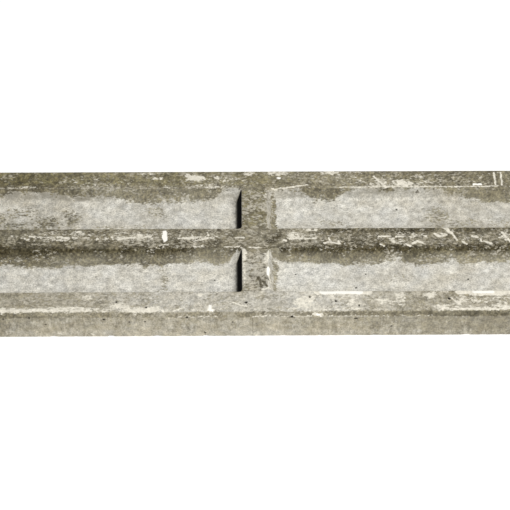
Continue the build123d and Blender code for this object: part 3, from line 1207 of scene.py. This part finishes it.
def groundColour(tree, spot, look):
    # cement, grey smears with the painted shade at the floors' near foot, and stain
    names = ("stain", "depth", "weatherAndLight", "veilAndShade", "moss")
    stain, depth, weatherAndLight, veilAndShade, moss = (fieldOf(tree, name) for name in names)
    colour, height = cementBase(tree, spot, weatherAndLight)
    smudge = noiseOf(tree, vectorCalc(tree, "MULTIPLY", spot, (0.5, 1, 1)), look["smudge"], 4, 0.7)
    # grey smears, and the painted shade along each floor's foot by the near wall
    smearAndShadeShare = times(tree, veilAndShade, look["veilAndShadeStrength"])
    smearAndShadeShare = times(tree, span(tree, smudge, 0.3, 0.62), smearAndShadeShare, clamp=True)
    colour = mixColours(tree, smearAndShadeShare, colour, finish["greySmearAndShade"])

    streaky = vectorCalc(tree, "MULTIPLY", spot, (look["streak"], 1, 1))
    cover = coverOf(tree, streaky, stain, look["stain"])
    weight = plus(tree, times(tree, depth, look["stainByDepth"]), look["stainLeast"], clamp=True)
    green = span(tree, noiseOf(tree, spot, look["moss"], 3, 0.6), 0.2, 0.5)
    green = times(tree, moss, green, clamp=True)
    soil = mixColours(tree, green, stainColour(tree, spot, depth), finish["mossTint"], "MULTIPLY")
    under = times(tree, span(tree, stain, 0.25, 0.8), span(tree, weatherAndLight, 0.35, 0.65, 0.5, 0.75))
    sandy = span(tree, height, 0.3, 0.7, 0.6, 1.4, smooth=False)
    sandy = vectorCalc(tree, "SCALE", finish["underStain"], scale=sandy)
    colour = mixColours(tree, under, colour, sandy)
    return mixColours(tree, times(tree, cover, weight), colour, soil), height, cover, streaky


def castFaceMaterial():
    material, tree, shader, spot = newMaterial("Weathered Cast Face With Painted Shade")
    look = castFace
    colour, height, cover, streaky = groundColour(tree, spot, look)
    crust = coverOf(tree, streaky, fieldOf(tree, "lime"), look["lime"])

    # the marks lie flat on the face and stray a little from their lines
    inputs = {"Vector": spot, "Scale": 1 / look["wander"], "Detail": 2}
    wander = addNode(tree, "ShaderNodeTexNoise", inputs).outputs["Color"]
    wander = vectorCalc(tree, "SUBTRACT", wander, (0.5, 0.5, 0.5))
    wander = vectorCalc(tree, "SCALE", wander, scale=look["strayBy"])
    flat = vectorCalc(tree, "MULTIPLY", vectorCalc(tree, "ADD", spot, wander), (1, 1, 0))
    crumble = minus(tree, noiseOf(tree, spot, look["lime"][1], 2, 0.6), 0.5)
    little = times(tree, crumble, look["crumble"])
    much = plus(tree, times(tree, crumble, look["runCrumble"]), look["runThinner"])
    scrapes = strokesOver(tree, flat, little, look["scrapes"])
    runs = strokesOver(tree, flat, much, look["runs"])
    limeMask = calc(tree, "MAXIMUM", crust, calc(tree, "MAXIMUM", scrapes, runs))
    limeTone = drifting(tree, (*finish["lime"], 1), spot, look["limeDrift"])
    colour = mixColours(tree, times(tree, limeMask, look["limeStrength"]), colour, limeTone)
    dabs = strokesOver(tree, flat, little, look["dabs"])
    colour = mixColours(tree, dabs, colour, finish["chalk"])
    dark = strokesOver(tree, flat, little, look["dark"])
    colour = mixColours(tree, times(tree, dark, look["darkStrength"]), colour, finish["deepStain"])

    # the strokes stay out of the height, which would draw each of them three times over
    height = plus(tree, height, times(tree, crust, look["limeHeight"]))
    colour, height = pitted(tree, spot, look, colour, height, fieldOf(tree, "hole"))
    # painted shade: the end walls left of the cross rib turn near black
    colour = mixColours(tree, fieldOf(tree, "paintedShade"), colour, finish["black"])
    finishShader(tree, shader, look, colour, height, cover)
    return material


# the same, with marks as x, z, x, z, half width
mouldSide = {
    "stain": (16.0, 3.0, 2.2, 0.5),
    "stainStrength": 0.55,
    "patchiness": 1.2,
    "crumble": 3.0,
    "pores": (7.0, 0.3, 0.8),
    "poreShade": 0.55,
    "poreDip": 0.9,
    "roughness": 0.94,
    "stainSmoother": 0.06,
    "shine": 0.06,
    "bump": 0.7,
    "bumpDepth": 0.5 * mm,
    "marks": [
        ("deepStain", 0.5, [(-5, 40, -4, 2, 0.4)]),  # the seam at mid length
        ("lime", 0.7, [(122, 23, 123, 23, 1.0), (-243, 6, -240, 4, 1.2), (-292, 8, -288, 6, 1.2)]),
        ("deepStain", 0.75, [(-76, 10, -74, 3, 0.5), (-103, 41.5, -98, 41.5, 0.9), (50, 42, 57, 42, 1.0),
                             (30, 4, 90, 3, -0.2), (145, 38, 149, 38, 0.8)]),
    ],
}


def castSideMaterial():
    material, tree, shader, spot = newMaterial("Mould Side Face")
    look = mouldSide
    stain, depth, weatherAndLight, hole = (fieldOf(tree, name) for name in ("stain", "depth", "weatherAndLight", "hole"))
    colour, height = cementBase(tree, spot, weatherAndLight, look["patchiness"], "sideBeige")
    cover = coverOf(tree, vectorCalc(tree, "MULTIPLY", spot, (1, 1, 0.3)), stain, look["stain"])
    soil = stainColour(tree, spot, depth)
    colour = mixColours(tree, times(tree, cover, look["stainStrength"]), colour, soil)

    axes = addNode(tree, "ShaderNodeSeparateXYZ", {0: spot}).outputs
    upright = addNode(tree, "ShaderNodeCombineXYZ", {0: axes[0], 1: axes[2]}).outputs[0]
    crumble = times(tree, minus(tree, noiseOf(tree, spot, 3.0, 2, 0.6), 0.5), look["crumble"])
    onNear = calc(tree, "LESS_THAN", axes[1], 0.0)
    for tone, strength, lines in look["marks"]:
        mask = times(tree, strokesOver(tree, upright, crumble, lines), onNear)
        colour = mixColours(tree, times(tree, mask, strength), colour, finish[tone])

    colour, height = pitted(tree, spot, look, colour, height, hole)
    finishShader(tree, shader, look, colour, height, cover)
    return material


struckBack = {
    "dragSize": 3.5,
    "dragLength": 0.06,  # the smaller, the longer the drag lines
    "dragHeight": 1.6,
    "stain": (40.0, 4.0, 1.6, 0.3),
    "stainStrength": 0.45,
    "stainDepth": 0.35,
    "pores": (8.0, 0.4, 1.0),
    "poreShade": 0.7,
    "poreDip": 1.0,
    "roughness": 0.96,
    "stainSmoother": 0.05,
    "shine": 0.06,
    "bump": 0.8,
    "bumpDepth": 0.6 * mm,
}


def struckBackMaterial():
    # the back was levelled off by hand and has drag lines along it
    material, tree, shader, spot = newMaterial("Struck Back")
    look = struckBack
    colour, height = cementBase(tree, spot, fieldOf(tree, "weatherAndLight"))
    drawnOut = vectorCalc(tree, "MULTIPLY", spot, (look["dragLength"], 1, 1))
    drags = noiseOf(tree, drawnOut, look["dragSize"], 3, 0.6)
    cover = coverOf(tree, spot, fieldOf(tree, "stain"), look["stain"])
    soil = stainColour(tree, spot, look["stainDepth"])
    colour = mixColours(tree, times(tree, cover, look["stainStrength"]), colour, soil)
    height = plus(tree, height, times(tree, drags, look["dragHeight"]))
    colour, height = pitted(tree, spot, look, colour, height)
    finishShader(tree, shader, look, colour, height, cover)
    return material


studio = {
    "floorHalf": 9.0,
    "floorColour": (0.82, 0.82, 0.815),
    "floorGlow": 0.26,
    "floorMottle": 900,
    "floorDrift": 0.03,
    "floorRoughness": 0.9,
    "floorShine": 0.1,
    "skyLight": 0.5,
    "keyFrom": (0.5, -0.35, 0.8),
    "keyDistance": 6.0,
    "keySize": 3.4,
    "keyPower": 290,
}


def plainFloorMaterial():
    material, tree, shader, spot = newMaterial("Plain Pale Floor")
    mottle = minus(tree, noiseOf(tree, spot, studio["floorMottle"], 2, 0.5), 0.5)
    factor = plus(tree, times(tree, mottle, studio["floorDrift"]), 1.0)
    colour = vectorCalc(tree, "SCALE", studio["floorColour"], scale=factor)
    tree.links.new(colour, shader.inputs["Base Color"])
    shader.inputs["Roughness"].default_value = studio["floorRoughness"]
    shader.inputs["Specular IOR Level"].default_value = studio["floorShine"]
    shader.inputs["Emission Color"].default_value = (1, 1, 1, 1)
    shader.inputs["Emission Strength"].default_value = studio["floorGlow"]
    return material


# which faces take the side's finish and which the back's
finishZones = {
    "upright": 0.92,
    "edgeBand": 3 * mm,
    "underChamfer": 1.5 * mm,
    "back": 0.6 * mm,
}


def finishOfFaces():
    # 0 for the cast face, 1 for the sides and 2 for the back
    normals = np.empty(len(castMesh.polygons) * 3)
    centres = np.empty(len(castMesh.polygons) * 3)
    castMesh.polygons.foreach_get("normal", normals)
    castMesh.polygons.foreach_get("center", centres)
    normals = normals.reshape(-1, 3)
    across, along, height = np.abs(centres[1::3]), np.abs(centres[0::3]), centres[2::3]
    upright = np.max(np.abs(normals[:, :2]), axis=1) > finishZones["upright"]
    band = finishZones["edgeBand"]
    outer = (across > halfWidth - band) | (along > halfLength - band)
    low = height < sideTop - finishZones["underChamfer"]
    kinds = np.where(upright & outer | outer & low, 1, 0)
    return np.where(height < finishZones["back"], 2, kinds).astype(np.int32)


for material in (castFaceMaterial(), castSideMaterial(), struckBackMaterial()):
    castMesh.materials.append(material)
castMesh.polygons.foreach_set("material_index", finishOfFaces())
castMesh.update()
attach(castBoard, "root")
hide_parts("gravel_board")
print("materials:", ", ".join(material.name for material in castMesh.materials))

half = studio["floorHalf"]
floorMesh = bpy.data.meshes.new("pale_floor")
corners = [(-half, -half, 0), (half, -half, 0), (half, half, 0), (-half, half, 0)]
floorMesh.from_pydata(corners, [], [(0, 1, 2, 3)])
floorMesh.materials.append(plainFloorMaterial())
floor = bpy.data.objects.new("pale_floor", floorMesh)
bpy.context.collection.objects.link(floor)

scene = bpy.context.scene
scene.view_settings.view_transform = "Standard"
sky = bpy.data.worlds.new("studio_sky")
sky.use_nodes = True
scene.world = sky
skyTree = sky.node_tree
skyTree.nodes.clear()
seen = addNode(skyTree, "ShaderNodeLightPath").outputs["Is Camera Ray"]
strength = span(skyTree, seen, 0, 1, studio["skyLight"], 1.0, smooth=False)
backdrop = addNode(skyTree, "ShaderNodeBackground", {"Color": (1, 1, 1, 1), "Strength": strength})
addNode(skyTree, "ShaderNodeOutputWorld", {"Surface": backdrop.outputs[0]})

keyWay = Vector(studio["keyFrom"]).normalized()
key = bpy.data.lights.new("key_softbox", "AREA")
key.shape = "SQUARE"
key.size = studio["keySize"]
key.energy = studio["keyPower"]
keyLamp = bpy.data.objects.new("key_softbox", key)
keyLamp.location = keyWay * studio["keyDistance"]
keyLamp.rotation_euler = keyWay.to_track_quat("Z", "Y").to_euler()
bpy.context.collection.objects.link(keyLamp)

# the photo's viewpoint, found from the board's long edges
view = {
    "aim": (0, -35.2 * mm, 50 * mm),
    "elevation": 47.32,
    "azimuth": -0.94,
    "distance": 2.438,
    "roll": 0.44,
    "lens": 113.9,
    "sensor": 36,
}
lift, swing = math.radians(view["elevation"]), math.radians(view["azimuth"])
back = Vector((math.cos(lift) * math.sin(swing), -math.cos(lift) * math.cos(swing), math.sin(lift)))
lens = bpy.data.cameras.new("photo_camera")
lens.lens = view["lens"]
lens.sensor_width = view["sensor"]
camera = bpy.data.objects.new("photo_camera", lens)
turn = back.to_track_quat("Z", "Y").to_matrix() @ Matrix.Rotation(math.radians(view["roll"]), 3, "Z")
camera.matrix_world = Matrix.Translation(Vector(view["aim"]) + back * view["distance"]) @ turn.to_4x4()
bpy.context.collection.objects.link(camera)
scene.camera = camera
print("studio: floor, sky, softbox and camera")
